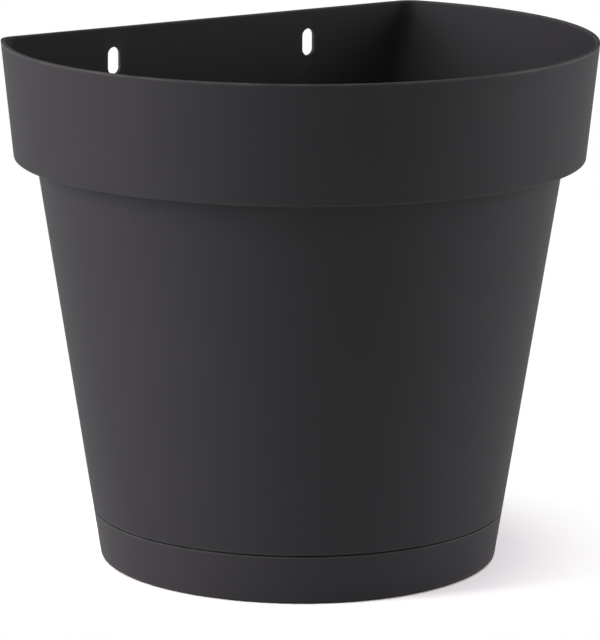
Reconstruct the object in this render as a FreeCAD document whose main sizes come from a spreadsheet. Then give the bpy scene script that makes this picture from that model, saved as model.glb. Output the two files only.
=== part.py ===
import FreeCAD, Part
import math
import os
import Sketcher

# Wall planter with a flat back: a moulded pot with a wide collar, and the flush drip saucer that it
# stands in. In plan both are a circle cut off by the wall, with rounded back corners.
#
# Frame, in millimetres: the origin is on the axis of the round front, at the level of the ground.
# +Z is up, the wall is on the +Y side and the round front faces -Y.

# Every size that can be set by itself: its name, its value in millimetres or degrees, what it is.
SIZES = [
    ("rim_radius", 150.0, "outer radius of the rim"),
    ("total_height", 266.0, "ground to the top of the rim"),
    ("back_offset", 82.0, "axis of the round front to the wall face"),
    ("back_corner_radius", 12.0, "plan radius where the round front meets the back"),
    ("collar_height", 59.5, "rim to the ledge under the collar"),
    ("collar_draft", 5.9, "taper of the collar, degrees"),
    ("ledge_width", 11.0, "how far the collar stands out over the body"),
    ("body_draft", 8.85, "taper of the body and of the saucer, degrees"),
    ("pot_wall", 2.3, "wall of the pot"),
    ("rim_bevel", 0.7, "bevel of both edges of the rim"),
    ("saucer_height", 25.0, "ground to the upper edge of the saucer"),
    ("saucer_wall", 2.2, "wall of the saucer"),
    ("saucer_floor", 2.2, "floor of the saucer"),
    ("saucer_foot_bevel", 1.8, "bevel under the outside of the saucer"),
    ("seam_bevel", 0.5, "bevel of the edges on both sides of the seam"),
    ("seam_gap", 0.6, "gap between the saucer's edge and the pot's shoulder"),
    ("foot_ring_width", 8.0, "ring that the saucer stands on"),
    ("foot_recess", 0.8, "depth of the hollow inside that ring"),
    ("spigot_clearance", 0.5, "gap between the pot's lower end and the saucer's wall"),
    ("grip_gap", 0.15, "gap left between the grip ribs and the saucer's wall"),
    ("grip_width", 4.0, "width of a grip rib"),
    ("grip_lead", 3.0, "sloped lower end of a grip rib"),
    ("grip_count", 5, "grip ribs round the front half"),
    ("base_height", 10.0, "ground to the underside of the pot's floor"),
    ("stand_radius", 64.0, "axis to the middle of a standing rib"),
    ("stand_thickness", 2.4, "thickness of a standing rib"),
    ("stand_angle", 28.0, "length of a standing rib, degrees of its ring"),
    ("stand_count", 6, "standing ribs under the pot's floor"),
    ("drain_diameter", 8.0, "drain hole"),
    ("drain_ring_radius", 40.0, "axis to the middle of a drain hole"),
    ("drain_count", 6, "drain holes"),
    ("slot_width", 7.4, "width of a wall slot"),
    ("slot_length", 14.3, "height of a wall slot, end to end"),
    ("slot_spacing", 120.0, "between the middles of the two wall slots"),
    ("slot_drop", 17.3, "rim to the middle of a wall slot"),
]

# How near two lengths are when they count as the same, in millimetres.
SAME = 0.001

# Levels and offsets that follow from those sizes, as expressions for the sketches.
GROUND = "0"
AXIS = "0"
LEDGE = "(Sizes.total_height - Sizes.collar_height)"
SHOULDER = "(Sizes.saucer_height + Sizes.seam_gap)"
POT_FLOOR = "(Sizes.base_height + Sizes.pot_wall)"
SAUCER_FLOOR = "(Sizes.foot_recess + Sizes.saucer_floor)"
SPIGOT_INSET = "(Sizes.saucer_wall + Sizes.spigot_clearance)"
ABOVE_RIM = "(Sizes.total_height + Sizes.collar_height)"
ABOVE_SAUCER = "(2 * Sizes.saucer_height)"


def collar_radius(level, inset="0"):
    """Radius of the collar at a level, moved inwards by inset, square to its wall."""
    drop = f"(Sizes.total_height - ({level})) * tan(Sizes.collar_draft)"
    return f"(Sizes.rim_radius - {drop} - ({inset}) / cos(Sizes.collar_draft))"


def body_radius(level, inset="0"):
    """Radius of the body's taper at a level, moved inwards by inset, square to its wall."""
    top = f"({collar_radius(LEDGE)} - Sizes.ledge_width)"
    drop = f"({LEDGE} - ({level})) * tan(Sizes.body_draft)"
    return f"({top} - {drop} - ({inset}) / cos(Sizes.body_draft))"


def fill_sheet(doc):
    """Write the sizes into the document's spreadsheet, each with its alias."""
    sheet = doc.addObject("Spreadsheet::Sheet", "Sizes")
    for row, (alias, value, meaning) in enumerate(SIZES, start=1):
        sheet.set(f"A{row}", meaning)
        sheet.set(f"B{row}", str(value))
        sheet.setAlias(f"B{row}", alias)
    doc.recompute()


def value_of(body, expression):
    """The number that an expression gives."""
    return float(body.evalExpression(expression))


def origin_feature(body, role):
    """An axis or a plane of the body's own origin."""
    return next(item for item in body.Origin.OriginFeatures if item.Role == role)


# ---- sketches

def new_sketch(body, name, plane, height="0"):
    """An empty sketch on an origin plane, moved by height along the plane's normal."""
    sketch = body.newObject("Sketcher::SketchObject", name)
    sketch.AttachmentSupport = [(origin_feature(body, plane), "")]
    sketch.MapMode = "FlatFace"
    sketch.setExpression("AttachmentOffset.Base.z", height)
    return sketch


def bind(sketch, kind, places, expression):
    """Add a constraint whose value is the expression."""
    value = value_of(sketch, expression)
    index = sketch.addConstraint(Sketcher.Constraint(kind, *places, value))
    sketch.setExpression(f"Constraints[{index}]", expression)


def pin_point(sketch, geometry, point, x, y):
    """Hold a point of a piece of geometry at x, y from the sketch's origin."""
    bind(sketch, "DistanceX", (-1, 1, geometry, point), x)
    bind(sketch, "DistanceY", (-1, 1, geometry, point), y)


def polygon_sketch(body, name, plane, corners, height="0"):
    """A closed outline through corners, each a pair of expressions."""
    sketch = new_sketch(body, name, plane, height)
    spots = [FreeCAD.Vector(value_of(body, x), value_of(body, y), 0) for x, y in corners]
    count = len(spots)
    for i in range(count):
        sketch.addGeometry(Part.LineSegment(spots[i], spots[(i + 1) % count]), False)
    for i in range(count):
        sketch.addConstraint(Sketcher.Constraint("Coincident", i, 2, (i + 1) % count, 1))
    for i, (x, y) in enumerate(corners):
        pin_point(sketch, i, 1, x, y)
    return sketch


def circle_sketch(body, name, plane, x, y, diameter, height):
    """A circle about x, y."""
    sketch = new_sketch(body, name, plane, height)
    middle = FreeCAD.Vector(value_of(body, x), value_of(body, y), 0)
    radius = value_of(body, f"{diameter} / 2")
    sketch.addGeometry(Part.Circle(middle, FreeCAD.Vector(0, 0, 1), radius), False)
    pin_point(sketch, 0, 3, x, y)
    bind(sketch, "Radius", (0,), f"{diameter} / 2")
    return sketch


def slot_sketch(body, name, plane, x, y, width, length, height):
    """An upright slot with round ends about x, y."""
    sketch = new_sketch(body, name, plane, height)
    half = f"({length} - {width}) / 2"
    radius = value_of(body, f"{width} / 2")
    middle_x = value_of(body, x)
    ends = [value_of(body, f"{y} + {half}"), value_of(body, f"{y} - {half}")]
    normal = FreeCAD.Vector(0, 0, 1)
    for middle_y, start in zip(ends, (0, math.pi)):
        circle = Part.Circle(FreeCAD.Vector(middle_x, middle_y, 0), normal, radius)
        sketch.addGeometry(Part.ArcOfCircle(circle, start, start + math.pi), False)
    for side in (-1, 1):
        upper, lower = (FreeCAD.Vector(middle_x + side * radius, end, 0) for end in ends)
        sketch.addGeometry(Part.LineSegment(upper, lower), False)
    # Upper arc 0 runs from the right side to the left, lower arc 1 from the left to the right.
    # Line 2 is the left side and line 3 the right side, both from the top down.
    joins = ((0, 2, 2, 1), (1, 1, 2, 2), (1, 2, 3, 2), (0, 1, 3, 1))
    for arc, arc_end, line, line_end in joins:
        sketch.addConstraint(Sketcher.Constraint("Tangent", arc, arc_end, line, line_end))
    pin_point(sketch, 0, 3, x, f"{y} + {half}")
    pin_point(sketch, 1, 3, x, f"{y} - {half}")
    bind(sketch, "Radius", (0,), f"{width} / 2")
    return sketch


# ---- features

def changed_volume(body, before, sign):
    """Recompute and make sure that the last feature added (+1) or removed (-1) material."""
    body.Document.recompute()
    after = body.Shape.Volume
    if (after - before) * sign <= 0:
        raise RuntimeError(f"{body.Tip.Name} changed the volume from {before:.1f} to {after:.1f}")


def revolve(body, name, plane, corners, angle="360"):
    """Turn an outline in an upright plane about the axis, by angle, half of it to each side."""
    before = body.Shape.Volume if body.Tip else 0.0
    sketch = polygon_sketch(body, f"{name}Profile", plane, corners)
    turned = body.newObject("PartDesign::Revolution", name)
    turned.Profile = sketch
    turned.ReferenceAxis = (sketch, ["V_Axis"])
    turned.Midplane = angle != "360"
    turned.setExpression("Angle", angle)
    changed_volume(body, before, 1)
    return turned


def cut_through(body, name, sketch):
    """Cut a sketch's outline away, from the sketch's plane against its normal."""
    before = body.Shape.Volume
    cut = body.newObject("PartDesign::Pocket", name)
    cut.Profile = sketch
    cut.Type = "ThroughAll"
    changed_volume(body, before, -1)
    return cut


def repeat_round(body, name, feature, count, angle, sign, backwards=False):
    """Repeat a feature count times about the upright axis, over angle."""
    before = body.Shape.Volume
    pattern = body.newObject("PartDesign::PolarPattern", name)
    pattern.Originals = [feature]
    pattern.Axis = (origin_feature(body, "Z_Axis"), [""])
    pattern.Angle = angle
    pattern.Reversed = backwards
    pattern.setExpression("Occurrences", count)
    body.Tip = pattern
    changed_volume(body, before, sign)


def mirror_sideways(body, name, feature, sign):
    """Repeat a feature on the other side of the planter's middle plane."""
    before = body.Shape.Volume
    mirror = body.newObject("PartDesign::Mirrored", name)
    mirror.Originals = [feature]
    mirror.MirrorPlane = (origin_feature(body, "YZ_Plane"), [""])
    body.Tip = mirror
    changed_volume(body, before, sign)


def dress_edges(body, name, kind, wanted, dimension, expression):
    """Fillet or chamfer the edges of the body so far for which wanted(edge) is true."""
    base = body.Tip
    names = [f"Edge{i}" for i, edge in enumerate(base.Shape.Edges, start=1) if wanted(edge)]
    if not names:
        raise RuntimeError(f"{name} found no edge")
    dressed = body.newObject(f"PartDesign::{kind}", name)
    dressed.Base = (base, names)
    dressed.setExpression(dimension, expression)
    body.Document.recompute()


def face_at(body, level):
    """The largest flat face that lies at a level."""
    z = value_of(body, level)
    flat = [
        face
        for face in body.Tip.Shape.Faces
        if face.Surface.TypeId == "Part::GeomPlane"
        and abs(face.BoundBox.ZMin - z) < SAME
        and abs(face.BoundBox.ZMax - z) < SAME
    ]
    return max(flat, key=lambda face: face.Area)


def loop_test(body, level, inner):
    """A test for the edges on the outer loop of the flat face at a level, or its inner loops."""
    face = face_at(body, level)
    loops = [wire for wire in face.Wires if wire.isSame(face.OuterWire) != inner]
    edges = [edge for wire in loops for edge in wire.Edges]
    return lambda edge: any(edge.isSame(other) for other in edges)


def bevel_loop(body, name, level, size, inner=False):
    """Bevel the outer or the inner edge of the flat face at a level, all the way round."""
    dress_edges(body, name, "Chamfer", loop_test(body, level, inner), "Size", size)


def climbs_at(y):
    """A test for the edges that climb in the flat at y: those where it meets the turned wall."""
    def wanted(edge):
        ends = [vertex.Point for vertex in edge.Vertexes]
        climbs = len(ends) == 2 and abs(ends[0].z - ends[1].z) > SAME
        return climbs and all(abs(point.y - y) < SAME for point in ends)

    return wanted


def flat_backed(doc, name, corners, flats):
    """A turned body with a flat back.

    corners is the outline, drawn towards the wall so that the turn's own seam is cut away. flats
    lists, from the top down, each flat's distance from the axis, the level that it starts below,
    and the plan radius of its two corners.
    """
    body = doc.addObject("PartDesign::Body", name)
    revolve(body, "Turned", "YZ_Plane", corners)
    reach = "2 * Sizes.rim_radius"
    for number, (offset, top, _) in enumerate(flats, start=1):
        behind = [(f"-{reach}", offset), (reach, offset), (reach, reach), (f"-{reach}", reach)]
        sketch = polygon_sketch(body, f"BehindFlat{number}", "XY_Plane", behind, top)
        cut_through(body, f"Flat{number}", sketch)
    for number, (offset, _, radius) in enumerate(flats, start=1):
        climbing = climbs_at(value_of(body, offset))
        dress_edges(body, f"Corners{number}", "Fillet", climbing, "Radius", radius)
    return body


def hollow_out(body, hollow):
    """Take the shape of another body out of this one."""
    before = body.Shape.Volume
    cut = body.newObject("PartDesign::Boolean", f"{hollow.Name}Cut")
    cut.Type = "Cut"
    cut.setObjects([hollow])
    changed_volume(body, before, -1)


# ---- the pot

def pot_outside(doc):
    """The outside of the pot: lower spigot, shoulder, tapered body, ledge and collar."""
    corners = [
        (AXIS, "Sizes.base_height"),
        (body_radius("Sizes.base_height", SPIGOT_INSET), "Sizes.base_height"),
        (body_radius(SHOULDER, SPIGOT_INSET), SHOULDER),
        (body_radius(SHOULDER), SHOULDER),
        (body_radius(LEDGE), LEDGE),
        (collar_radius(LEDGE), LEDGE),
        ("Sizes.rim_radius", "Sizes.total_height"),
        (AXIS, "Sizes.total_height"),
    ]
    flats = [
        ("Sizes.back_offset", "Sizes.total_height", "Sizes.back_corner_radius"),
        (
            f"Sizes.back_offset - {SPIGOT_INSET}",
            SHOULDER,
            f"Sizes.back_corner_radius - {SPIGOT_INSET}",
        ),
    ]
    return flat_backed(doc, "planter_body", corners, flats)


def pot_hollow(doc):
    """The space inside the pot: its outside moved in by one wall all over."""
    wall = "Sizes.pot_wall"
    shoulder = f"({SHOULDER} + {wall})"
    ledge = f"({LEDGE} + {wall})"
    spigot_inset = f"({SPIGOT_INSET} + {wall})"
    corners = [
        (AXIS, POT_FLOOR),
        (body_radius(POT_FLOOR, spigot_inset), POT_FLOOR),
        (body_radius(shoulder, spigot_inset), shoulder),
        (body_radius(shoulder, wall), shoulder),
        (body_radius(ledge, wall), ledge),
        (collar_radius(ledge, wall), ledge),
        (collar_radius(ABOVE_RIM, wall), ABOVE_RIM),
        (AXIS, ABOVE_RIM),
    ]
    flats = [
        (f"Sizes.back_offset - {wall}", ABOVE_RIM, f"Sizes.back_corner_radius - {wall}"),
        (
            f"Sizes.back_offset - {spigot_inset}",
            shoulder,
            f"Sizes.back_corner_radius - {spigot_inset}",
        ),
    ]
    return flat_backed(doc, "PotHollow", corners, flats)


def add_standing_ribs(pot):
    """Curved ribs under the floor: they stand on the saucer's floor and let the water through."""
    inner = "Sizes.stand_radius - Sizes.stand_thickness / 2"
    outer = "Sizes.stand_radius + Sizes.stand_thickness / 2"
    root = "Sizes.base_height + Sizes.pot_wall / 2"
    corners = [(inner, SAUCER_FLOOR), (outer, SAUCER_FLOOR), (outer, root), (inner, root)]
    rib = revolve(pot, "StandingRib", "XZ_Plane", corners, "Sizes.stand_angle")
    repeat_round(pot, "StandingRibs", rib, "Sizes.stand_count", 360, 1)


def add_grip_ribs(pot):
    """Upright ribs on the spigot, with sloped lower ends: they hold the saucer by friction."""
    low = "Sizes.base_height"
    lead_end = "(Sizes.base_height + Sizes.grip_lead)"
    root = f"({SPIGOT_INSET} + Sizes.pot_wall / 2)"
    crest = "(Sizes.saucer_wall + Sizes.grip_gap)"
    corners = [
        (body_radius(low, root), low),
        (body_radius(low, SPIGOT_INSET), low),
        (body_radius(lead_end, crest), lead_end),
        (body_radius(SHOULDER, crest), SHOULDER),
        (body_radius(SHOULDER, root), SHOULDER),
    ]
    angle = f"Sizes.grip_width / {body_radius(SHOULDER, crest)} * 180 / pi"
    rib = revolve(pot, "GripRib", "XZ_Plane", corners, angle)
    repeat_round(pot, "GripRibs", rib, "Sizes.grip_count", 180, 1, backwards=True)


def cut_drain_holes(pot):
    """A ring of round holes through the pot's floor."""
    circle = circle_sketch(
        pot, "DrainOutline", "XY_Plane", "Sizes.drain_ring_radius", "0", "Sizes.drain_diameter",
        f"{POT_FLOOR} + Sizes.pot_wall",
    )
    hole = cut_through(pot, "DrainHole", circle)
    repeat_round(pot, "DrainHoles", hole, "Sizes.drain_count", 360, -1)


def cut_wall_slots(pot):
    """Two upright slots through the back, for the wall screws."""
    outline = slot_sketch(
        pot, "SlotOutline", "XZ_Plane",
        "-Sizes.slot_spacing / 2", "(Sizes.total_height - Sizes.slot_drop)",
        "Sizes.slot_width", "Sizes.slot_length",
        "-(Sizes.back_offset - 2 * Sizes.pot_wall)",
    )
    slot = cut_through(pot, "WallSlot", outline)
    mirror_sideways(pot, "WallSlots", slot, -1)


def build_pot(doc):
    """The pot: one moulding, open at the top."""
    pot = pot_outside(doc)
    bevel_loop(pot, "ShoulderBevel", SHOULDER, "Sizes.seam_bevel")
    hollow_out(pot, pot_hollow(doc))
    rim_limit = "min(Sizes.rim_bevel; 0.45 * Sizes.pot_wall)"
    bevel_loop(pot, "RimOutside", "Sizes.total_height", rim_limit)
    bevel_loop(pot, "RimInside", "Sizes.total_height", rim_limit, inner=True)
    add_standing_ribs(pot)
    add_grip_ribs(pot)
    cut_drain_holes(pot)
    cut_wall_slots(pot)
    return pot


# ---- the saucer

def saucer_outside(doc):
    """The outside of the saucer: it carries on the body's taper, flush with the flat back."""
    top = "Sizes.saucer_height"
    corners = [
        (AXIS, GROUND),
        (body_radius(GROUND), GROUND),
        (body_radius(top), top),
        (AXIS, top),
    ]
    flats = [("Sizes.back_offset", top, "Sizes.back_corner_radius")]
    return flat_backed(doc, "drip_saucer", corners, flats)


def saucer_hollow(doc):
    """The space inside the saucer, over its floor."""
    wall = "Sizes.saucer_wall"
    corners = [
        (AXIS, SAUCER_FLOOR),
        (body_radius(SAUCER_FLOOR, wall), SAUCER_FLOOR),
        (body_radius(ABOVE_SAUCER, wall), ABOVE_SAUCER),
        (AXIS, ABOVE_SAUCER),
    ]
    flats = [(f"Sizes.back_offset - {wall}", ABOVE_SAUCER, f"Sizes.back_corner_radius - {wall}")]
    return flat_backed(doc, "SaucerHollow", corners, flats)


def foot_recess(doc):
    """The shallow space under the saucer, inside the ring that it stands on."""
    ring = "Sizes.foot_ring_width"
    corners = [
        (AXIS, "-Sizes.foot_recess"),
        (f"{body_radius(GROUND)} - {ring}", "-Sizes.foot_recess"),
        (f"{body_radius(GROUND)} - {ring}", "Sizes.foot_recess"),
        (AXIS, "Sizes.foot_recess"),
    ]
    flats = [
        (f"Sizes.back_offset - {ring}", "Sizes.foot_recess", "Sizes.back_corner_radius / 2")
    ]
    return flat_backed(doc, "FootRecess", corners, flats)


def build_saucer(doc):
    """The drip saucer: one moulding, open at the top."""
    saucer = saucer_outside(doc)
    bevel_loop(saucer, "FootBevel", GROUND, "Sizes.saucer_foot_bevel")
    hollow_out(saucer, saucer_hollow(doc))
    hollow_out(saucer, foot_recess(doc))
    edge_limit = "min(Sizes.seam_bevel; 0.45 * Sizes.saucer_wall)"
    bevel_loop(saucer, "EdgeBevel", "Sizes.saucer_height", edge_limit)
    return saucer


# ---- checks and files

def check(doc, pieces):
    """Stop if anything in the document failed, or a piece is not one valid solid."""
    for item in doc.Objects:
        if "Invalid" in item.State or "Error" in item.State:
            raise RuntimeError(f"{item.Name} failed: {item.State}")
    for piece in pieces:
        shape = piece.Shape
        if shape.isNull() or not shape.isValid() or len(shape.Solids) != 1:
            raise RuntimeError(f"{piece.Label} is not one valid solid")


def main():
    """Build the planter and write one file for each piece."""
    doc = FreeCAD.newDocument("WallPlanter")
    fill_sheet(doc)
    pieces = [build_pot(doc), build_saucer(doc)]
    for piece in pieces:
        piece.Placement = FreeCAD.Placement()
    doc.recompute()
    check(doc, pieces)
    os.makedirs("parts", exist_ok=True)
    for piece in pieces:
        piece.Shape.exportStep(f"parts/{piece.Label}.step")
        print(piece.Label, f"{piece.Shape.Volume / 1000:.1f} cm3")


main()
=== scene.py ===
"""Looks of a half-round wall planter and its drip saucer, laid out as a Blender add-on.

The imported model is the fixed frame. Both mouldings are built again here as fine quad meshes with
their small roundings, and replace the plain nodes. All lengths are in metres: Z is up, the wall is
on the +Y side and the round front faces -Y.
"""

import math
from typing import NamedTuple

import bmesh
import bpy
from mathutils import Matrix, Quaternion, Vector


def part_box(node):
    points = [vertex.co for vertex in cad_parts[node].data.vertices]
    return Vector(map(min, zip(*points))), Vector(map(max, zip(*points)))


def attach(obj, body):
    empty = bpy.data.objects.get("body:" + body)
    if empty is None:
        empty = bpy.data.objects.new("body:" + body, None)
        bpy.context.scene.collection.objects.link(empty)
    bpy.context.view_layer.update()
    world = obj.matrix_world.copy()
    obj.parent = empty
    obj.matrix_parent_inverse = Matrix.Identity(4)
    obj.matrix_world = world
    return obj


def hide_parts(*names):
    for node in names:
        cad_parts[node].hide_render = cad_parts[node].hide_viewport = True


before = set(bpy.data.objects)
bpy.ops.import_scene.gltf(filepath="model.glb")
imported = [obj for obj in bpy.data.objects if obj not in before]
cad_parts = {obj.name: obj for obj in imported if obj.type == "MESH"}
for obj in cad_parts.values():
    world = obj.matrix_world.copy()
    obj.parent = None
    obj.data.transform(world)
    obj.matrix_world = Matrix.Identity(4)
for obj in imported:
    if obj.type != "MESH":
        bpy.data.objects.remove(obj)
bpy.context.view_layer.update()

bl_info = {
    "name": "Wall planter",
    "version": (1, 0, 0),
    "blender": (4, 5, 0),
    "location": "3D View > Sidebar > Planter",
    "description": "Builds a half-round wall planter, its drip saucer and a plain studio",
    "category": "Object",
}

POT_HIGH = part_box("planter_body")[1]
SAUCER_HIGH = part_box("drip_saucer")[1]

# Height of the seam between the saucer's edge and the pot's shoulder.
SEAM_GAP = 0.0006

# Steps round a loop of a moulding, and along each rounding of its outline.
FRONT_STEPS = 176
CORNER_STEPS = 12
BACK_STEPS = 28
ROUND_STEPS = 5

# Steps along the round forms of the holes and the ribs.
SLOT_END_STEPS = 16
DRAIN_STEPS = 32
STAND_RIB_STEPS = 14
GRIP_RIB_STEPS = 3

# The highest row between two roundings, and how far the wear and painted sheen of an edge reach
# past it.
ROW_LENGTH = 0.022
WEAR_AND_SHEEN_REACH = 0.0008

# The largest share of a side that a rounding takes, and that the wear and painted sheen at one end
# may take.
MOST_ROUNDED = 0.45
MOST_WORN_AND_SHEEN = 0.4

# Rounding of the edges of the slots and the drain holes.
HOLE_EDGE_ROUND = 0.00012


# ---- sizes and colours that a user may change


class PlanterPotSizes(bpy.types.PropertyGroup):
    """Sizes of the pot."""

    rim_radius: bpy.props.FloatProperty(
        name="Rim radius", description="Outer radius of the round front at the rim",
        default=0.150, min=0.05, unit="LENGTH",
    )
    rim_level: bpy.props.FloatProperty(
        name="Rim level", description="Height of the rim above the ground",
        default=POT_HIGH.z, min=0.05, unit="LENGTH",
    )
    back: bpy.props.FloatProperty(
        name="Back", description="From the axis of the round front to the wall",
        default=POT_HIGH.y, min=0.02, unit="LENGTH",
    )
    corner: bpy.props.FloatProperty(
        name="Back corners", description="Plan radius where the front meets the back",
        default=0.012, min=0.004, unit="LENGTH",
    )
    wall: bpy.props.FloatProperty(
        name="Wall", description="Thickness of the moulding",
        default=0.0023, min=0.001, unit="LENGTH",
    )
    collar_height: bpy.props.FloatProperty(
        name="Collar height", description="From the rim down to the ledge",
        default=0.0595, min=0.005, unit="LENGTH",
    )
    collar_draft: bpy.props.FloatProperty(
        name="Collar taper", description="Slope of the collar from upright",
        default=math.radians(5.9), min=0.0, subtype="ANGLE",
    )
    ledge_width: bpy.props.FloatProperty(
        name="Ledge width", description="How far the collar stands out over the body",
        default=0.011, min=0.001, unit="LENGTH",
    )
    body_draft: bpy.props.FloatProperty(
        name="Body taper", description="Slope of the body from upright",
        default=math.radians(8.85), min=0.0, subtype="ANGLE",
    )
    rim_round: bpy.props.FloatProperty(
        name="Rim rounding", description="Rounding of both edges of the rim",
        default=0.0006, min=0.0001, unit="LENGTH",
    )
    collar_foot_round: bpy.props.FloatProperty(
        name="Collar foot rounding", description="Rounding of the collar's lower edge",
        default=0.0009, min=0.0001, unit="LENGTH",
    )
    inner_round: bpy.props.FloatProperty(
        name="Inner rounding", description="Rounding in the hollow angles of the moulding",
        default=0.0015, min=0.0001, unit="LENGTH",
    )
    shoulder_level: bpy.props.FloatProperty(
        name="Shoulder level", description="Upper side of the seam over the saucer",
        default=SAUCER_HIGH.z + SEAM_GAP, min=0.005, unit="LENGTH",
    )
    seam_round: bpy.props.FloatProperty(
        name="Seam rounding", description="Rounding of the edge over the seam",
        default=0.0004, min=0.0001, unit="LENGTH",
    )
    spigot_inset: bpy.props.FloatProperty(
        name="Spigot inset", description="How far the lower end stands back behind the body",
        default=0.0027, min=0.001, unit="LENGTH",
    )
    base_level: bpy.props.FloatProperty(
        name="Base level", description="Underside of the pot's floor",
        default=0.010, min=0.002, unit="LENGTH",
    )
    slot_width: bpy.props.FloatProperty(
        name="Slot width", description="Width of a wall slot",
        default=0.0074, min=0.001, unit="LENGTH",
    )
    slot_length: bpy.props.FloatProperty(
        name="Slot length", description="Height of a wall slot, end to end",
        default=0.0143, min=0.002, unit="LENGTH",
    )
    slot_spacing: bpy.props.FloatProperty(
        name="Slot spacing", description="Between the middles of the wall slots",
        default=0.120, min=0.02, unit="LENGTH",
    )
    slot_drop: bpy.props.FloatProperty(
        name="Slot drop", description="From the rim to the middle of a wall slot",
        default=0.0173, min=0.005, unit="LENGTH",
    )
    drain_diameter: bpy.props.FloatProperty(
        name="Drain hole", description="Diameter of a drain hole",
        default=0.008, min=0.002, unit="LENGTH",
    )
    drain_ring: bpy.props.FloatProperty(
        name="Drain ring", description="From the axis to the middle of a drain hole",
        default=0.040, min=0.01, unit="LENGTH",
    )
    drain_count: bpy.props.IntProperty(
        name="Drain holes", description="How many drain holes the floor has",
        default=6, min=1,
    )


class PlanterRibSizes(bpy.types.PropertyGroup):
    """Sizes of the ribs under the pot and round its lower end."""

    stand_ring: bpy.props.FloatProperty(
        name="Standing ring", description="From the axis to the middle of a standing rib",
        default=0.064, min=0.01, unit="LENGTH",
    )
    stand_thickness: bpy.props.FloatProperty(
        name="Standing rib", description="Thickness of a standing rib",
        default=0.0024, min=0.0005, unit="LENGTH",
    )
    stand_angle: bpy.props.FloatProperty(
        name="Standing rib length", description="Part of its ring that a standing rib takes",
        default=math.radians(28.0), min=0.05, subtype="ANGLE",
    )
    stand_count: bpy.props.IntProperty(
        name="Standing ribs", description="How many ribs the pot stands on",
        default=6, min=3,
    )
    grip_gap: bpy.props.FloatProperty(
        name="Grip gap", description="Between a grip rib and the saucer's wall",
        default=0.00015, min=0.0, unit="LENGTH",
    )
    grip_width: bpy.props.FloatProperty(
        name="Grip rib", description="Width of a grip rib",
        default=0.004, min=0.001, unit="LENGTH",
    )
    grip_lead: bpy.props.FloatProperty(
        name="Grip lead", description="Sloped lower end of a grip rib",
        default=0.003, min=0.0005, unit="LENGTH",
    )
    grip_count: bpy.props.IntProperty(
        name="Grip ribs", description="How many grip ribs stand round the front half",
        default=5, min=1,
    )


class PlanterSaucerSizes(bpy.types.PropertyGroup):
    """Sizes of the drip saucer."""

    height: bpy.props.FloatProperty(
        name="Height", description="Ground to the saucer's upper edge",
        default=SAUCER_HIGH.z, min=0.005, unit="LENGTH",
    )
    wall: bpy.props.FloatProperty(
        name="Wall", description="Thickness of the saucer's wall",
        default=0.0022, min=0.001, unit="LENGTH",
    )
    floor: bpy.props.FloatProperty(
        name="Floor", description="Thickness of the saucer's floor",
        default=0.0022, min=0.001, unit="LENGTH",
    )
    foot_round: bpy.props.FloatProperty(
        name="Foot rounding", description="Rounding under the outside of the saucer",
        default=0.0025, min=0.0002, unit="LENGTH",
    )
    dish_round: bpy.props.FloatProperty(
        name="Inner rounding", description="Rounding where the floor meets the wall",
        default=0.002, min=0.0002, unit="LENGTH",
    )
    edge_round: bpy.props.FloatProperty(
        name="Edge rounding", description="Rounding of the upper edge",
        default=0.0004, min=0.0001, unit="LENGTH",
    )
    foot_ring: bpy.props.FloatProperty(
        name="Foot ring", description="Width of the ring that the saucer stands on",
        default=0.008, min=0.001, unit="LENGTH",
    )
    foot_recess: bpy.props.FloatProperty(
        name="Foot recess", description="Depth of the hollow inside the foot ring",
        default=0.0008, min=0.0001, unit="LENGTH",
    )


class PlanterFinish(bpy.types.PropertyGroup):
    """Colour and surface of the moulded plastic."""

    colour: bpy.props.FloatVectorProperty(
        name="Plastic", description="Colour of the moulded plastic",
        default=(0.0395, 0.0385, 0.0412), min=0.0, max=1.0, size=3, subtype="COLOR",
    )
    # Lighter colour of rubbed edges, which also paints a sheen on the rim and on the edges at the
    # seam.
    worn_and_sheen_colour: bpy.props.FloatVectorProperty(
        name="Rubbed plastic and painted sheen", description="Colour where edges are rubbed",
        default=(0.075, 0.073, 0.076), min=0.0, max=1.0, size=3, subtype="COLOR",
    )
    roughness: bpy.props.FloatProperty(
        name="Roughness", description="Roughness of the matt surface",
        default=0.62, min=0.0, max=1.0, subtype="FACTOR",
    )
    rubbed_roughness: bpy.props.FloatProperty(
        name="Rubbed roughness", description="Roughness where edges are rubbed",
        default=0.45, min=0.0, max=1.0, subtype="FACTOR",
    )
    grain_size: bpy.props.FloatProperty(
        name="Grain size", description="Size of the fine spark texture of the mould",
        default=0.0006, min=0.0001, unit="LENGTH",
    )
    grain_depth: bpy.props.FloatProperty(
        name="Grain depth", description="Depth of that texture",
        default=0.000018, min=0.0, precision=6, unit="LENGTH",
    )


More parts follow.
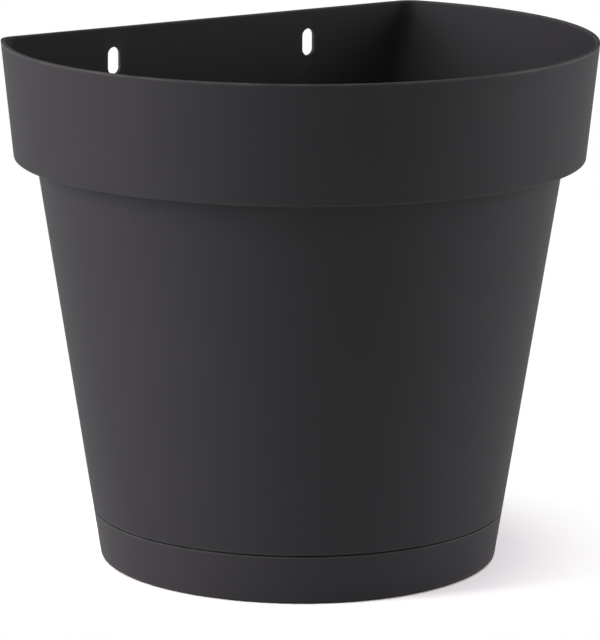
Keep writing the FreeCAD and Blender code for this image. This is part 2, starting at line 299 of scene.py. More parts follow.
class PlanterStudio(bpy.types.PropertyGroup):
    """Camera and light."""

    azimuth: bpy.props.FloatProperty(
        name="Azimuth", description="Camera's direction round the planter, 0 in front of it",
        default=math.radians(-34.6), subtype="ANGLE",
    )
    elevation: bpy.props.FloatProperty(
        name="Elevation", description="Camera's height above the level",
        default=math.radians(11.86), subtype="ANGLE",
    )
    distance: bpy.props.FloatProperty(
        name="Distance", description="From the camera to the middle of the planter",
        default=2.230, min=0.5, unit="LENGTH",
    )
    lens: bpy.props.FloatProperty(
        name="Lens", description="Focal length",
        default=247.3, min=10.0, subtype="DISTANCE_CAMERA",
    )
    left_light: bpy.props.FloatProperty(
        name="Left light", description="Power of the soft box on the camera's left",
        default=22.0, min=0.0, unit="POWER",
    )
    right_light: bpy.props.FloatProperty(
        name="Right light", description="Power of the soft box on the camera's right",
        default=13.0, min=0.0, unit="POWER",
    )
    top_light: bpy.props.FloatProperty(
        name="Top light", description="Power of the soft box over the planter",
        default=9.0, min=0.0, unit="POWER",
    )
    side_colour: bpy.props.FloatVectorProperty(
        name="Side light colour", description="Colour of the light of both side boxes",
        default=(1.0, 0.95, 0.975), min=0.0, max=1.0, size=3, subtype="COLOR",
    )
    fill_light: bpy.props.FloatProperty(
        name="Fill", description="Brightness of the room round the planter",
        default=0.01, min=0.0,
    )


# ---- outlines


class Station(NamedTuple):
    """One loop of a moulding: its plan, its height, and the height of its flat back."""

    radius: float
    level: float
    back: float
    corner: float
    flat_level: float


def blend(first, second, share):
    """A station between two others."""
    return Station(*(a + (b - a) * share for a, b in zip(first, second)))


def gap(first, second):
    """Distance between two stations in the outline's plane."""
    return math.hypot(second.radius - first.radius, second.level - first.level)


def direction(start, end):
    """Direction from a station to another in the outline's plane, one long."""
    length = gap(start, end)
    return (end.radius - start.radius) / length, (end.level - start.level) / length


def rounded_turn(before, turn, after, radius):
    """The stations of an arc that takes the place of a turn in an outline."""
    reach_in, reach_out = gap(turn, before), gap(turn, after)
    u, v = direction(turn, before), direction(turn, after)
    opening = math.acos(max(-1.0, min(1.0, u[0] * v[0] + u[1] * v[1])))
    cut = min(
        radius / math.tan(opening / 2), MOST_ROUNDED * reach_in, MOST_ROUNDED * reach_out
    )
    radius = cut * math.tan(opening / 2)
    sweep = math.pi - opening
    area = u[0] * v[1] - u[1] * v[0]
    bisector = (u[0] + v[0], u[1] + v[1])
    length = math.hypot(*bisector)
    centre = [c / length * radius / math.sin(opening / 2) for c in bisector]
    start = math.atan2(u[1] * cut - centre[1], u[0] * cut - centre[0])
    side = -1.0 if area > 0 else 1.0
    arc = []
    for step in range(ROUND_STEPS + 1):
        angle = start + side * sweep * step / ROUND_STEPS
        x = centre[0] + radius * math.cos(angle)
        z = centre[1] + radius * math.sin(angle)
        along_u = (x * v[1] - z * v[0]) / area / reach_in
        along_v = (u[0] * z - u[1] * x) / area / reach_out
        arc.append(
            Station(*(
                t + (b - t) * along_u + (a - t) * along_v
                for b, t, a in zip(before, turn, after)
            ))
        )
    return arc


def moulded_outline(turns):
    """Rows of (station, wear and painted sheen) along an outline given as (station, rounding, wear
    and painted sheen) turns.
    """
    rows = []
    last = len(turns) - 1
    for index, (turn, radius, wear_and_sheen) in enumerate(turns):
        if radius and 0 < index < last:
            arc = rounded_turn(turns[index - 1][0], turn, turns[index + 1][0], radius)
        else:
            arc = [turn]
        if rows:
            rows.extend(straight_rows(rows[-1], (arc[0], wear_and_sheen)))
        rows.extend((point, wear_and_sheen) for point in arc)
    return rows


def straight_rows(start, end):
    """The rows between two others: the wear and painted sheen fade near each end, and no row is
    too high.
    """
    (first, first_wear_and_sheen), (second, second_wear_and_sheen) = start, end
    length = gap(first, second)
    near = WEAR_AND_SHEEN_REACH / length if length else 1.0
    if near > MOST_WORN_AND_SHEEN:
        return [(blend(first, second, 0.5), min(first_wear_and_sheen, second_wear_and_sheen))]
    count = max(1, math.ceil(length / ROW_LENGTH))
    shares = [near] + [step / count for step in range(1, count)] + [1.0 - near]
    return [(blend(first, second, share), 0.0) for share in sorted(shares)]


def loop_points(place):
    """The points of one loop: round the front, the left corner, the back, the right corner."""
    radius, level, back, corner, flat_level = place
    centre_y = back - corner
    centre_x = math.sqrt((radius - corner) ** 2 - centre_y ** 2)
    lean = math.atan2(centre_y, centre_x)
    points = []
    for step in range(FRONT_STEPS):
        angle = lean - (math.pi + 2 * lean) * step / FRONT_STEPS
        points.append((radius * math.cos(angle), radius * math.sin(angle), level))
    for step in range(CORNER_STEPS):
        angle = math.pi - lean - (math.pi / 2 - lean) * step / CORNER_STEPS
        x = -centre_x + corner * math.cos(angle)
        points.append((x, centre_y + corner * math.sin(angle), level))
    for step in range(BACK_STEPS):
        x = -centre_x + 2 * centre_x * step / BACK_STEPS
        points.append((x, back, flat_level if step else level))
    for step in range(CORNER_STEPS):
        angle = math.pi / 2 - (math.pi / 2 - lean) * step / CORNER_STEPS
        x = centre_x + corner * math.cos(angle)
        points.append((x, centre_y + corner * math.sin(angle), level))
    return points


# ---- meshes


def new_piece(name, mesh_data):
    """Turn a bmesh into an object of the scene."""
    mesh = bpy.data.meshes.new(name)
    mesh_data.normal_update()
    mesh_data.to_mesh(mesh)
    mesh_data.free()
    piece = bpy.data.objects.new(name, mesh)
    bpy.context.scene.collection.objects.link(piece)
    return piece


def loft(rows):
    """A closed skin through the rows, with a flat cap on the first and on the last."""
    made = bmesh.new()
    wear_and_sheen_layer = made.verts.layers.float.new("wear_and_sheen")
    loops = []
    for place, wear_and_sheen in rows:
        loop = [made.verts.new(point) for point in loop_points(place)]
        for vertex in loop:
            vertex[wear_and_sheen_layer] = wear_and_sheen
        loops.append(loop)
    for lower, upper in zip(loops, loops[1:]):
        for index in range(len(lower)):
            following = (index + 1) % len(lower)
            made.faces.new((lower[index], lower[following], upper[following], upper[index]))
    made.faces.new(reversed(loops[0]))
    made.faces.new(loops[-1])
    no_length = 1e-7
    bmesh.ops.dissolve_degenerate(made, dist=no_length, edges=made.edges)
    bmesh.ops.recalc_face_normals(made, faces=made.faces)
    return made


def prism(made, outline, shift):
    """Add a closed prism: an outline of points and its copy moved by shift."""
    near = [made.verts.new(point) for point in outline]
    far = [made.verts.new(Vector(point) + Vector(shift)) for point in outline]
    count = len(near)
    for index in range(count):
        following = (index + 1) % count
        made.faces.new((near[index], near[following], far[following], far[index]))
    made.faces.new(reversed(near))
    made.faces.new(far)


def ring_block(made, section, middle, angle, steps):
    """Add a block that follows a ring: a section in radius and level, turned through angle."""
    slices = []
    for step in range(steps + 1):
        turn = middle + angle * (step / steps - 0.5)
        slices.append(
            [made.verts.new((r * math.cos(turn), r * math.sin(turn), z)) for r, z in section]
        )
    count = len(section)
    for first, second in zip(slices, slices[1:]):
        for index in range(count):
            following = (index + 1) % count
            made.faces.new((first[index], first[following], second[following], second[index]))
    made.faces.new(reversed(slices[0]))
    made.faces.new(slices[-1])


def combine(piece, tool, operation):
    """Join the tool to the piece, or cut the piece with it, and remove the tool."""
    cut = piece.modifiers.new("Combine", "BOOLEAN")
    cut.operation = operation
    cut.solver = "EXACT"
    cut.object = tool
    graph = bpy.context.evaluated_depsgraph_get()
    result = bpy.data.meshes.new_from_object(piece.evaluated_get(graph))
    box_faces = 6
    if len(result.polygons) <= box_faces:
        raise RuntimeError(f"{tool.name} could not be combined with {piece.name}")
    piece.modifiers.clear()
    piece.data = result
    tool_mesh = tool.data
    bpy.data.objects.remove(tool)
    bpy.data.meshes.remove(tool_mesh)


def ease_edges(piece, wanted, size):
    """Round the sharp edges for which wanted(middle) is true, and mark them as half rubbed."""
    sharp_angle, half_rubbed = math.radians(50), 0.5
    made = bmesh.new()
    made.from_mesh(piece.data)
    wear_and_sheen_layer = made.verts.layers.float.get("wear_and_sheen") or made.verts.layers.float.new("wear_and_sheen")
    sharp = []
    for edge in made.edges:
        if len(edge.link_faces) == 2 and edge.calc_face_angle(0.0) > sharp_angle:
            if wanted((edge.verts[0].co + edge.verts[1].co) / 2):
                sharp.append(edge)
    eased = bmesh.ops.bevel(
        made, geom=sharp, offset=size, offset_type="OFFSET", segments=2, profile=0.5,
        affect="EDGES", clamp_overlap=True,
    )
    for vertex in eased["verts"]:
        vertex[wear_and_sheen_layer] = half_rubbed
    made.to_mesh(piece.data)
    made.free()


def finish_mesh(piece, material):
    """Smooth shading that leaves the many-sided faces flat, and one plastic."""
    mesh = piece.data
    quad_corners = 4
    for face in mesh.polygons:
        face.use_smooth = len(face.vertices) <= quad_corners
    mesh.set_sharp_from_angle(angle=math.radians(40))
    mesh.materials.clear()
    mesh.materials.append(material)
    mesh.name = piece.name
    normals = piece.modifiers.new("Flat faces stay flat", "WEIGHTED_NORMAL")
    normals.mode = "FACE_AREA_WITH_ANGLE"
    normals.weight = 80
    normals.keep_sharp = True


# ---- plastic


def new_group(name, inputs, outputs):
    """A shader node group with named sockets, and its two end nodes."""
    group = bpy.data.node_groups.new(name, "ShaderNodeTree")
    for label, kind, default in inputs:
        socket = group.interface.new_socket(name=label, in_out="INPUT", socket_type=kind)
        socket.default_value = default
    for label, kind in outputs:
        group.interface.new_socket(name=label, in_out="OUTPUT", socket_type=kind)
    return group, group.nodes.new("NodeGroupInput"), group.nodes.new("NodeGroupOutput")


def math_node(nodes, operation, *values):
    """A math node, with links or numbers in its sockets."""
    node = nodes.new("ShaderNodeMath")
    node.operation = operation
    for socket, value in zip(node.inputs, values):
        feed(node.id_data, socket, value)
    return node.outputs["Value"]


def feed(tree, socket, value):
    """Link an output to a socket, or write a plain value to it."""
    if isinstance(value, bpy.types.NodeSocket):
        tree.links.new(value, socket)
    else:
        socket.default_value = value


def noise_node(nodes, place, scale, detail, roughness=0.5):
    """Value of a noise texture at a place."""
    node = nodes.new("ShaderNodeTexNoise")
    feed(node.id_data, node.inputs["Vector"], place)
    feed(node.id_data, node.inputs["Scale"], scale)
    node.inputs["Detail"].default_value = detail
    node.inputs["Roughness"].default_value = roughness
    return node.outputs["Fac"]


def spread_node(nodes, value, low=0.0, high=1.0, to_low=0.0, to_high=1.0):
    """Map a value from one range to another, clamped."""
    node = nodes.new("ShaderNodeMapRange")
    for socket, number in zip(node.inputs, (value, low, high, to_low, to_high)):
        feed(node.id_data, socket, number)
    return node.outputs["Result"]


def spark_grain_group():
    """Fine spark-eroded texture of a mould: its height, and broad faint unevenness."""
    group, start, end = new_group(
        "Spark grain",
        [("Grain size", "NodeSocketFloat", 0.0006), ("Cloud size", "NodeSocketFloat", 0.05)],
        [("Height", "NodeSocketFloat"), ("Cloud", "NodeSocketFloat")],
    )
    nodes = group.nodes
    place = nodes.new("ShaderNodeTexCoord").outputs["Object"]
    grain_scale = math_node(nodes, "DIVIDE", 1.0, start.outputs["Grain size"])
    cloud_scale = math_node(nodes, "DIVIDE", 1.0, start.outputs["Cloud size"])
    fine = noise_node(nodes, place, grain_scale, detail=2.0, roughness=0.6)
    cells = nodes.new("ShaderNodeTexVoronoi")
    cells.feature = "SMOOTH_F1"
    group.links.new(place, cells.inputs["Vector"])
    cell_share, pit_depth = 0.7, 0.6
    cell_scale = math_node(nodes, "MULTIPLY", grain_scale, cell_share)
    group.links.new(cell_scale, cells.inputs["Scale"])
    pits = math_node(nodes, "MULTIPLY", cells.outputs["Distance"], pit_depth)
    group.links.new(math_node(nodes, "ADD", fine, pits), end.inputs["Height"])
    cloud = noise_node(nodes, place, cloud_scale, detail=3.0, roughness=0.55)
    group.links.new(spread_node(nodes, cloud, low=0.3, high=0.7), end.inputs["Cloud"])
    return group


def rubbed_edges_and_sheen_group():
    """Mask of edges rubbed by hands and cloth, and of a painted sheen on edges that catch the
    light, broken up by noise.
    """
    group, start, end = new_group(
        "Rubbed edges and sheen",
        [("Wear", "NodeSocketFloat", 0.0), ("Strength", "NodeSocketFloat", 1.0)],
        [("Mask", "NodeSocketFloat")],
    )
    nodes = group.nodes
    place = nodes.new("ShaderNodeTexCoord").outputs["Object"]
    uneven = noise_node(nodes, place, scale=55.0, detail=4.0, roughness=0.6)
    patches = spread_node(nodes, uneven, low=0.35, high=0.65, to_low=0.35)
    marked = math_node(nodes, "MULTIPLY", start.outputs["Wear"], patches)
    mask = math_node(nodes, "MULTIPLY", marked, start.outputs["Strength"])
    group.links.new(mask, end.inputs["Mask"])
    return group


def flow_mark_group():
    """Faint streaks that plastic leaves as it flows up the mould from its floor."""
    group, start, end = new_group(
        "Flow marks",
        [("Length", "NodeSocketFloat", 0.35)],
        [("Streaks", "NodeSocketFloat")],
    )
    nodes = group.nodes
    place = nodes.new("ShaderNodeTexCoord").outputs["Object"]
    stretch = nodes.new("ShaderNodeCombineXYZ")
    group.links.new(start.outputs["Length"], stretch.inputs["Z"])
    stretch.inputs["X"].default_value = 1.0
    stretch.inputs["Y"].default_value = 1.0
    scaled = nodes.new("ShaderNodeVectorMath")
    scaled.operation = "MULTIPLY"
    group.links.new(place, scaled.inputs[0])
    group.links.new(stretch.outputs["Vector"], scaled.inputs[1])
    streaks = noise_node(nodes, scaled.outputs["Vector"], scale=60.0, detail=3.0, roughness=0.6)
    group.links.new(spread_node(nodes, streaks, low=0.3, high=0.7), end.inputs["Streaks"])
    return group


def effect(name, build):
    """The node group of that name, built once."""
    return bpy.data.node_groups.get(name) or build()


def place_group(nodes, group, **values):
    """Put a group into a material with its own values."""
    node = nodes.new("ShaderNodeGroup")
    node.node_tree = group
    for label, value in values.items():
        feed(node.id_data, node.inputs[label.replace("_", " ").capitalize()], value)
    return node.outputs


def colour_mix(nodes, share, first, second):
    """Mix two colours."""
    node = nodes.new("ShaderNodeMix")
    node.data_type = "RGBA"
    feed(node.id_data, node.inputs["Factor"], share)
    feed(node.id_data, node.inputs["A"], first)
    feed(node.id_data, node.inputs["B"], second)
    return node.outputs["Result"]


def matt_plastic(name, finish, rub_and_sheen=1.0, tone=1.0):
    """Matt moulded plastic: spark grain, faint clouds and flow marks, edges rubbed smoother and
    lighter, the lighter colour partly a painted sheen.

    rub_and_sheen is the strength of the rubbing and of the painted sheen, and tone makes the
    colour lighter or darker.
    """
    material = bpy.data.materials.new(name)
    material.use_nodes = True
    tree = material.node_tree
    nodes = tree.nodes
    shader = nodes["Principled BSDF"]
    grain = place_group(
        nodes, effect("Spark grain", spark_grain_group),
        Grain_size=finish.grain_size, Cloud_size=0.05,
    )
    flow = place_group(nodes, effect("Flow marks", flow_mark_group), Length=0.35)
    wear_and_sheen = nodes.new("ShaderNodeAttribute")
    wear_and_sheen.attribute_name = "wear_and_sheen"
    rubbed_and_sheen = place_group(
        nodes, effect("Rubbed edges and sheen", rubbed_edges_and_sheen_group),
        Wear=wear_and_sheen.outputs["Fac"], Strength=rub_and_sheen,
    )
    cloud_contrast, cloud_roughness, streak_roughness = 0.04, 0.02, 0.012
    base = [channel * tone for channel in finish.colour]
    darker = (*(channel * (1.0 - cloud_contrast) for channel in base), 1.0)
    lighter = (*(channel * (1.0 + cloud_contrast) for channel in base), 1.0)
    clouded = colour_mix(nodes, grain["Cloud"], darker, lighter)
    # Rubbed edges are lighter; on the rim and at the seam this lighter colour is a painted sheen.
    coloured = colour_mix(nodes, rubbed_and_sheen["Mask"], clouded, (*finish.worn_and_sheen_colour, 1.0))
    tree.links.new(coloured, shader.inputs["Base Color"])

    patchy = spread_node(
        nodes, grain["Cloud"],
        to_low=finish.roughness - cloud_roughness, to_high=finish.roughness + cloud_roughness,
    )
    streaks = spread_node(
        nodes, flow["Streaks"], to_low=-streak_roughness, to_high=streak_roughness
    )
    streaked = math_node(nodes, "ADD", patchy, streaks)
    smoother = math_node(
        nodes, "MULTIPLY", rubbed_and_sheen["Mask"], finish.rubbed_roughness - finish.roughness
    )
    tree.links.new(math_node(nodes, "ADD", streaked, smoother), shader.inputs["Roughness"])

    bump = nodes.new("ShaderNodeBump")
    bump.inputs["Strength"].default_value = 0.6
    bump.inputs["Distance"].default_value = finish.grain_depth
    tree.links.new(grain["Height"], bump.inputs["Height"])
    tree.links.new(bump.outputs["Normal"], shader.inputs["Normal"])
    shader.inputs["IOR"].default_value = 1.49
    shader.inputs["Specular IOR Level"].default_value = 0.10
    return material


# ---- the mouldings


def body_radius(sizes, level, inset=0.0):
    """Outer radius of the taper that the body and the saucer share, moved in by inset."""
    ledge = sizes.rim_level - sizes.collar_height
    top = sizes.rim_radius - sizes.collar_height * math.tan(sizes.collar_draft) - sizes.ledge_width
    drop = (ledge - level) * math.tan(sizes.body_draft)
    return top - drop - inset / math.cos(sizes.body_draft)


def collar_radius(sizes, level, inset=0.0):
    """Outer radius of the collar at a level, moved in by inset."""
    drop = (sizes.rim_level - level) * math.tan(sizes.collar_draft)
    return sizes.rim_radius - drop - inset / math.cos(sizes.collar_draft)


def station_at(pot, radius, level, inset=0.0, flat_shift=0.0):
    """A station whose flat back and corners stand in by inset from the outside."""
    return Station(radius, level, pot.back - inset, pot.corner - inset, level + flat_shift)


def body_station(pot, level, inset=0.0, flat_shift=0.0):
    """A station on the taper of the body and the saucer."""
    return station_at(pot, body_radius(pot, level, inset), level, inset, flat_shift)


def collar_station(pot, level, inset=0.0, flat_shift=0.0):
    """A station on the collar's taper."""
    return station_at(pot, collar_radius(pot, level, inset), level, inset, flat_shift)


def pot_outline(pot):
    """The pot's skin from the middle of its base, up the outside and down the inside.

    The ledge has no width on the flat back. There its two sides keep apart by fan, up and down,
    so that each face has an area.
    """
    wall, spigot = pot.wall, pot.spigot_inset
    base, shoulder, rim = pot.base_level, pot.shoulder_level, pot.rim_level
    ledge = rim - pot.collar_height
    inside_shoulder, inside_ledge = shoulder + wall, ledge + wall
    fan = 0.0015
    hollow_round, step_round, spigot_round = 0.0005, 0.0008, 0.001
    # The last number of a turn is wear and painted sheen: lightest on the rim, and half as light
    # on the edge over the seam.
    return [
        (body_station(pot, base, spigot), 0.0, 0.0),
        (body_station(pot, shoulder, spigot), hollow_round, 0.0),
        (body_station(pot, shoulder), pot.seam_round, 0.5),
        (body_station(pot, ledge, 0.0, -fan), hollow_round, 0.0),
        (collar_station(pot, ledge, 0.0, fan), pot.collar_foot_round, 0.15),
        (collar_station(pot, rim), pot.rim_round, 1.0),
        (collar_station(pot, rim, wall), pot.rim_round, 1.0),
        (collar_station(pot, inside_ledge, wall, fan), pot.inner_round, 0.0),
        (body_station(pot, inside_ledge, wall, -fan), step_round, 0.3),
        (body_station(pot, inside_shoulder, wall), spigot_round, 0.0),
        (body_station(pot, inside_shoulder, spigot + wall), spigot_round, 0.0),
        (body_station(pot, base + wall, spigot + wall), 0.0, 0.0),
    ]


def saucer_outline(pot, sizes):
    """The saucer's skin from the hollow under its floor, up the outside and down the inside."""
    wall, top, ring = sizes.wall, sizes.height, sizes.foot_ring
    recess, floor = sizes.foot_recess, sizes.foot_recess + sizes.floor
    hollow_radius = body_radius(pot, 0.0) - ring
    recess_round, apron = 0.0003, 0.006

    def hollow(level):
        return Station(hollow_radius, level, pot.back - ring, pot.corner / 2, level)

    # The last number of a turn is wear and painted sheen: the upper edge is painted nearly
    # lightest, a painted highlight under the seam.
    return [
        (hollow(recess), 0.0, 0.0),
        (hollow(0.0), recess_round, 0.3),
        (body_station(pot, 0.0), sizes.foot_round, 0.25),
        (body_station(pot, top), sizes.edge_round, 0.9),
        (body_station(pot, top, wall), sizes.edge_round, 0.9),
        (body_station(pot, floor, wall), sizes.dish_round, 0.0),
        (station_at(pot, body_radius(pot, floor, wall) - apron, floor, wall + apron), 0.0, 0.0),
    ]


def slot_points(sizes, side):
    """The outline of a wall slot, in a plane just inside the back."""
    radius = sizes.slot_width / 2
    straight = sizes.slot_length / 2 - radius
    middle_x = side * sizes.slot_spacing / 2
    middle_z = sizes.rim_level - sizes.slot_drop
    y = sizes.back - 2 * sizes.wall
    points = []
    for end, start in ((1, 0.0), (-1, math.pi)):
        for step in range(SLOT_END_STEPS + 1):
            angle = start + math.pi * step / SLOT_END_STEPS
            points.append((
                middle_x + radius * math.cos(angle), y,
                middle_z + end * straight + radius * math.sin(angle),
            ))
    return points


def drain_points(sizes, turn):
    """The outline of a drain hole, in a plane just under the pot's floor."""
    radius = sizes.drain_diameter / 2
    x, y = sizes.drain_ring * math.cos(turn), sizes.drain_ring * math.sin(turn)
    z = sizes.base_level - sizes.wall
    angles = (2 * math.pi * step / DRAIN_STEPS for step in range(DRAIN_STEPS))
    return [(x + radius * math.cos(a), y + radius * math.sin(a), z) for a in angles]


def pot_holes(sizes):
    """One tool that cuts the wall slots and the drain holes."""
    made = bmesh.new()
    through = 3 * sizes.wall
    for side in (-1, 1):
        prism(made, slot_points(sizes, side), (0, through, 0))
    for number in range(sizes.drain_count):
        turn = 2 * math.pi * number / sizes.drain_count
        prism(made, drain_points(sizes, turn), (0, 0, through))
    bmesh.ops.recalc_face_normals(made, faces=made.faces)
    return new_piece("pot_holes", made)


def at_hole(sizes, place):
    """Whether a place is on the edge of a wall slot or of a drain hole."""
    past_wall, near_hole = 1.5 * sizes.wall, 0.6
    slot_level = sizes.rim_level - sizes.slot_drop
    in_back = (
        place.y > sizes.back - past_wall
        and abs(place.z - slot_level) < sizes.slot_length * near_hole
        and abs(abs(place.x) - sizes.slot_spacing / 2) < sizes.slot_width * near_hole
    )
    from_axis = math.hypot(place.x, place.y)
    in_floor = (
        place.z < sizes.base_level + past_wall
        and abs(from_axis - sizes.drain_ring) < sizes.drain_diameter * near_hole
    )
    return in_back or in_floor


def standing_ribs(made, sizes, ribs, saucer):
    """Add the ribs that stand on the saucer's floor and run up into the pot's."""
    inner = ribs.stand_ring - ribs.stand_thickness / 2
    outer = ribs.stand_ring + ribs.stand_thickness / 2
    low = saucer.foot_recess + saucer.floor
    root = sizes.base_level + sizes.wall / 2
    ease = ribs.stand_thickness * 0.2
    section = [
        (inner + ease, low), (outer - ease, low), (outer, low + ease), (outer, root),
        (inner, root), (inner, low + ease),
    ]
    for number in range(ribs.stand_count):
        turn = 2 * math.pi * number / ribs.stand_count
        ring_block(made, section, turn, ribs.stand_angle, STAND_RIB_STEPS)


def grip_ribs(made, sizes, ribs, saucer):
    """Add the upright ribs round the pot's lower end, each with a sloped lead."""
    over_base, proud = 0.0004, 0.00002
    low, lead = sizes.base_level + over_base, sizes.base_level + ribs.grip_lead
    shoulder = sizes.shoulder_level + sizes.wall / 4
    sunk = sizes.spigot_inset + sizes.wall / 2
    crest = saucer.wall + ribs.grip_gap
    section = [
        (body_radius(sizes, low, sunk), low),
        (body_radius(sizes, low, sizes.spigot_inset - proud), low),
        (body_radius(sizes, lead, crest), lead),
        (body_radius(sizes, shoulder, crest), shoulder),
        (body_radius(sizes, shoulder, sunk), shoulder),
    ]
    angle = ribs.grip_width / body_radius(sizes, shoulder, crest)
    for number in range(ribs.grip_count):
        turn = -math.pi * number / max(1, ribs.grip_count - 1)
        ring_block(made, section, turn, angle, GRIP_RIB_STEPS)


def pot_ribs(sizes, ribs, saucer):
    """One tool that adds the standing ribs and the grip ribs."""
    made = bmesh.new()
    standing_ribs(made, sizes, ribs, saucer)
    grip_ribs(made, sizes, ribs, saucer)
    bmesh.ops.recalc_face_normals(made, faces=made.faces)
    return new_piece("pot_ribs", made)


class PLANTER_OT_pot(bpy.types.Operator):
    """Build the pot with its collar, wall slots, drain holes and ribs"""

    bl_idname = "planter.pot"
    bl_label = "Pot"

    def execute(self, context):
        scene = context.scene
        sizes, ribs, saucer = scene.planter_pot, scene.planter_ribs, scene.planter_saucer
        rows = moulded_outline(pot_outline(sizes))
        pot = new_piece("pot_moulding", loft(rows))
        combine(pot, pot_ribs(sizes, ribs, saucer), "UNION")
        combine(pot, pot_holes(sizes), "DIFFERENCE")
        ease_edges(pot, lambda middle: at_hole(sizes, middle), HOLE_EDGE_ROUND)
        finish_mesh(pot, matt_plastic("pot_plastic", scene.planter_finish))
        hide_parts("planter_body")
        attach(pot, "pot")
        return {"FINISHED"}


class PLANTER_OT_saucer(bpy.types.Operator):
    """Build the drip saucer that the pot stands in"""

    bl_idname = "planter.saucer"
    bl_label = "Saucer"

    def execute(self, context):
        scene = context.scene
        rows = moulded_outline(saucer_outline(scene.planter_pot, scene.planter_saucer))
        saucer = new_piece("saucer_moulding", loft(rows))
        # tone 1.12 paints the saucer lighter than the pot: painted light, standing in for the
        # light from the pale floor beside it.
        plastic = matt_plastic("saucer_plastic", scene.planter_finish, rub_and_sheen=0.8, tone=1.12)
        finish_mesh(saucer, plastic)
        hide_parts("drip_saucer")
        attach(saucer, "saucer")
        return {"FINISHED"}


# ---- studio

# The floor's size, and how far from the axis its shade begins to fade and is gone.
FLOOR_RADIUS = 6.0
FLOOR_STEPS = 64
SHADE_FADES = 0.112
SHADE_ENDS = 0.18

# The level that the camera goes round, and what it is aimed at.
PIVOT_LEVEL = 0.133
CAMERA_TARGET = (0.0004, -0.0003, 0.1212)
CAMERA_ROLL = 0.0053


def from_camera(studio, turn, distance, level):
    """A place round the planter, turned from the camera's side to its right."""
    heading = studio.azimuth + turn
    return Vector((math.sin(heading) * distance, -math.cos(heading) * distance, level))


def aim(thing, target, roll=0.0):
    """Turn a camera or a lamp towards a point."""
    towards = Vector(target) - thing.location
    thing.rotation_mode = "QUATERNION"
    turn = towards.to_track_quat("-Z", "Y")
    thing.rotation_quaternion = turn @ Quaternion((0, 0, 1), roll)


def soft_box(name, place, target, width, height, power, colour=(1.0, 1.0, 1.0)):
    """A large soft area lamp."""
    lamp = bpy.data.lights.new(name, "AREA")
    lamp.shape = "RECTANGLE"
    lamp.size, lamp.size_y = width, height
    lamp.energy = power
    lamp.color = colour
    thing = bpy.data.objects.new(name, lamp)
    thing.location = place
    aim(thing, target)
    bpy.context.scene.collection.objects.link(thing)


def seen_by(nodes, *rays):
    """1 where a ray of one of these kinds arrives, and 0 elsewhere."""
    path = nodes.new("ShaderNodeLightPath")
    seen = path.outputs[f"Is {rays[0]} Ray"]
    for ray in rays[1:]:
        seen = math_node(nodes, "MAXIMUM", seen, path.outputs[f"Is {ray} Ray"])
    return seen


def shader_mix(nodes, share, first, second):
    """Mix two shaders."""
    node = nodes.new("ShaderNodeMixShader")
    for socket, value in zip(node.inputs, (share, first, second)):
        feed(node.id_data, socket, value)
    return node.outputs["Shader"]


def pale_floor_material():
    """A pale floor: white to the camera and in reflections, and it keeps the soft shadow."""
    material = bpy.data.materials.new("pale_floor")
    material.use_nodes = True
    tree = material.node_tree
    nodes = tree.nodes
    place = nodes.new("ShaderNodeTexCoord").outputs["Object"]

    paint = nodes["Principled BSDF"]
    speckle = noise_node(nodes, place, scale=40.0, detail=2.0)
    pale = colour_mix(nodes, speckle, (0.78, 0.775, 0.78, 1.0), (0.80, 0.795, 0.80, 1.0))
    tree.links.new(pale, paint.inputs["Base Color"])
    paint.inputs["Roughness"].default_value = 0.9
    paint.inputs["Specular IOR Level"].default_value = 0.1

    shaded = nodes.new("ShaderNodeBsdfDiffuse")
    shaded.inputs["Color"].default_value = (1.95, 1.92, 1.95, 1.0)
    white = nodes.new("ShaderNodeEmission")
    white.inputs["Color"].default_value = (1.0, 1.0, 1.0, 1.0)
    from_axis = nodes.new("ShaderNodeVectorMath")
    from_axis.operation = "LENGTH"
    tree.links.new(place, from_axis.inputs[0])
    away = spread_node(nodes, from_axis.outputs["Value"], low=SHADE_FADES, high=SHADE_ENDS)
    bright = shader_mix(nodes, away, shaded.outputs["BSDF"], white.outputs["Emission"])

    seen = seen_by(nodes, "Camera", "Glossy", "Transmission")
    above = shader_mix(nodes, seen, paint.outputs["BSDF"], bright)
    below = nodes.new("ShaderNodeBsdfTransparent").outputs["BSDF"]
    from_below = nodes.new("ShaderNodeNewGeometry").outputs["Backfacing"]
    both = shader_mix(nodes, from_below, above, below)
    tree.links.new(both, nodes["Material Output"].inputs["Surface"])
    return material


def pale_room(studio):
    """A white background for the camera, and a faint even light on the planter."""
    world = bpy.context.scene.world or bpy.data.worlds.new("pale_room")
    world.name = "pale_room"
    bpy.context.scene.world = world
    world.use_nodes = True
    tree = world.node_tree
    nodes = tree.nodes
    nodes.clear()
    backgrounds = []
    for strength in (studio.fill_light, 1.0):
        background = nodes.new("ShaderNodeBackground")
        background.inputs["Color"].default_value = (1.0, 1.0, 1.0, 1.0)
        background.inputs["Strength"].default_value = strength
        backgrounds.append(background.outputs["Background"])
    mixed = shader_mix(nodes, seen_by(nodes, "Camera", "Transmission"), *backgrounds)
    output = nodes.new("ShaderNodeOutputWorld")
    tree.links.new(mixed, output.inputs["Surface"])


def lay_floor():
    """A round floor. It rides on the saucer, which stands on it even when the pot is off."""
    made = bmesh.new()
    bmesh.ops.create_circle(made, cap_ends=True, radius=FLOOR_RADIUS, segments=FLOOR_STEPS)
    floor = new_piece("studio_floor", made)
    floor.data.materials.append(pale_floor_material())
    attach(floor, "saucer")


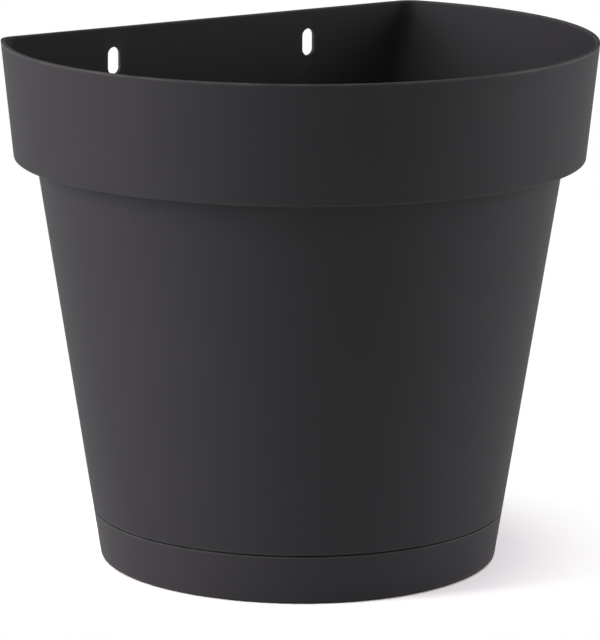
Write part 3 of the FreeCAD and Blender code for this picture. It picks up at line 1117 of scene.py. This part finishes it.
def hang_lamps(studio):
    """A large soft box on each side of the planter and one over it, aimed at its middle."""
    middle = Vector((0.0, 0.0, 0.13))
    soft_box(
        "left_soft_box",
        from_camera(studio, turn=math.radians(-75), distance=1.3, level=0.62), middle,
        width=0.9, height=1.0, power=studio.left_light, colour=studio.side_colour,
    )
    soft_box(
        "right_soft_box",
        from_camera(studio, turn=math.radians(96), distance=1.3, level=0.50), middle,
        width=1.0, height=0.8, power=studio.right_light, colour=studio.side_colour,
    )
    soft_box(
        "top_soft_box",
        from_camera(studio, turn=0.0, distance=0.1, level=1.4), middle,
        width=1.2, height=1.2, power=studio.top_light,
    )


def place_camera(studio):
    """The camera, in front of the planter and a little above it."""
    lens = bpy.data.cameras.new("photo_camera")
    lens.lens = studio.lens
    lens.sensor_width = 36.0
    lens.sensor_fit = "AUTO"
    lens.clip_start, lens.clip_end = 0.1, 50.0
    camera = bpy.data.objects.new("photo_camera", lens)
    away = math.cos(studio.elevation) * studio.distance
    level = PIVOT_LEVEL + math.sin(studio.elevation) * studio.distance
    camera.location = from_camera(studio, turn=0.0, distance=away, level=level)
    aim(camera, CAMERA_TARGET, CAMERA_ROLL)
    bpy.context.scene.collection.objects.link(camera)
    bpy.context.scene.camera = camera


class PLANTER_OT_studio(bpy.types.Operator):
    """Set up the pale floor, the soft light and the camera"""

    bl_idname = "planter.studio"
    bl_label = "Studio"

    def execute(self, context):
        studio = context.scene.planter_studio
        lay_floor()
        hang_lamps(studio)
        pale_room(studio)
        place_camera(studio)
        context.scene.view_settings.view_transform = "Standard"
        return {"FINISHED"}


# ---- panel and registration

GROUPS = {
    PlanterPotSizes: "planter_pot",
    PlanterRibSizes: "planter_ribs",
    PlanterSaucerSizes: "planter_saucer",
    PlanterFinish: "planter_finish",
    PlanterStudio: "planter_studio",
}
STEPS = (PLANTER_OT_pot, PLANTER_OT_saucer, PLANTER_OT_studio)


class PLANTER_PT_panel(bpy.types.Panel):
    """Lists the planter's pieces and their sizes"""

    bl_idname = "PLANTER_PT_panel"
    bl_label = "Wall planter"
    bl_space_type = "VIEW_3D"
    bl_region_type = "UI"
    bl_category = "Planter"

    def draw(self, context):
        layout = self.layout
        for step in STEPS:
            layout.operator(step.bl_idname)
        for group, place in GROUPS.items():
            box = layout.box()
            box.label(text=group.bl_rna.description or group.__name__)
            for name in group.__annotations__:
                box.prop(getattr(context.scene, place), name)


def register():
    """Register every class, and hang the groups on the scene."""
    for group, name in GROUPS.items():
        bpy.utils.register_class(group)
        setattr(bpy.types.Scene, name, bpy.props.PointerProperty(type=group))
    for step in STEPS:
        bpy.utils.register_class(step)
    bpy.utils.register_class(PLANTER_PT_panel)


def unregister():
    """Take back what register did."""
    bpy.utils.unregister_class(PLANTER_PT_panel)
    for step in reversed(STEPS):
        bpy.utils.unregister_class(step)
    for group, name in reversed(GROUPS.items()):
        delattr(bpy.types.Scene, name)
        bpy.utils.unregister_class(group)


def main():
    """Build the pieces and the studio in order."""
    register()
    bpy.ops.planter.pot()
    bpy.ops.planter.saucer()
    bpy.ops.planter.studio()


if __name__ == "__main__":
    main()
